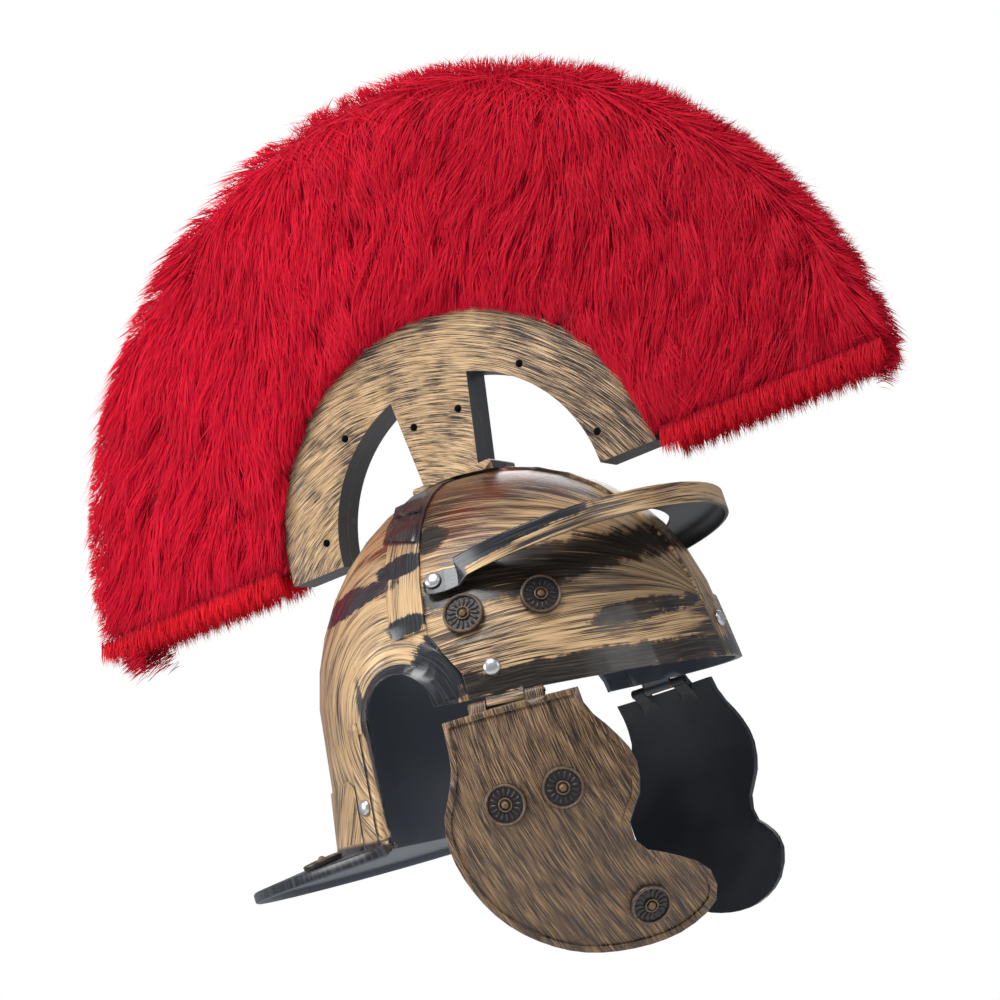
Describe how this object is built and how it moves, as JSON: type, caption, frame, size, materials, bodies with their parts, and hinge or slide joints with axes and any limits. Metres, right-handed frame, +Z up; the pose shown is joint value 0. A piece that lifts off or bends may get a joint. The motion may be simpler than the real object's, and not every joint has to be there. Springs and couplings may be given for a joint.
{
  "type": "roman legionary helmet",
  "caption": "Costume helmet with a two-part bowl, hinged cheek guards, brow guard, flared neck guard and a fore-and-aft fan of red faux fur on a half-round holder.",
  "frame": {"origin": "where the crown of the wearer's head touches the inside of the bowl, under the crest", "axes": "-Y points to the front of the helmet, +Z up, +X to the wearer's left"},
  "size_m": [0.2358, 0.468, 0.4637],
  "materials": {
    "bronzed_plastic": "charcoal plastic brushed over with antique gold",
    "dark_plastic": "charcoal plastic, gold on the raised parts",
    "holder_plastic": "charcoal plastic brushed over with antique gold",
    "silver_rivet": "satin silver",
    "red_fur": "deep-pile crimson faux fur"
  },
  "bodies": {
    "helmet": {"front_shell": "bronzed_plastic", "back_shell": "bronzed_plastic", "brow_guard": "bronzed_plastic", "crest_holder_right": "holder_plastic", "crest_holder_left": "holder_plastic", "fur_crest": "red_fur", "rosette_bowl_rear_right": "dark_plastic", "rosette_bowl_rear_left": "dark_plastic", "rosette_bowl_front_right": "dark_plastic", "rosette_bowl_front_left": "dark_plastic", "rosette_neck_right": "dark_plastic", "rosette_neck_left": "dark_plastic", "rivet_brow_guard_right": "silver_rivet", "rivet_brow_guard_left": "silver_rivet", "rivet_brow_band_right": "silver_rivet", "rivet_brow_band_left": "silver_rivet", "rivet_ear_right": "silver_rivet", "rivet_ear_left": "silver_rivet", "rivet_brow_front": "silver_rivet", "hinge_pin_right": "dark_plastic", "hinge_pin_left": "dark_plastic"},
    "right_cheek": {"cheek_guard_right": "bronzed_plastic", "rosette_cheek_rear_right": "dark_plastic", "rosette_cheek_front_right": "dark_plastic", "rosette_cheek_tip_right": "dark_plastic"},
    "left_cheek": {"cheek_guard_left": "bronzed_plastic", "rosette_cheek_rear_left": "dark_plastic", "rosette_cheek_front_left": "dark_plastic", "rosette_cheek_tip_left": "dark_plastic"}
  },
  "joints": [
    {"name": "right_cheek_hinge", "type": "hinge", "parent": "helmet", "child": "right_cheek", "pos_m": [-0.1008, -0.0275, -0.123], "axis": [0.2736, -0.9605, -0.05], "range_deg": [-80, 25]},
    {"name": "left_cheek_hinge", "type": "hinge", "parent": "helmet", "child": "left_cheek", "pos_m": [0.1008, -0.0275, -0.123], "axis": [-0.2736, -0.9605, -0.05], "range_deg": [-25, 80]}
  ]
}
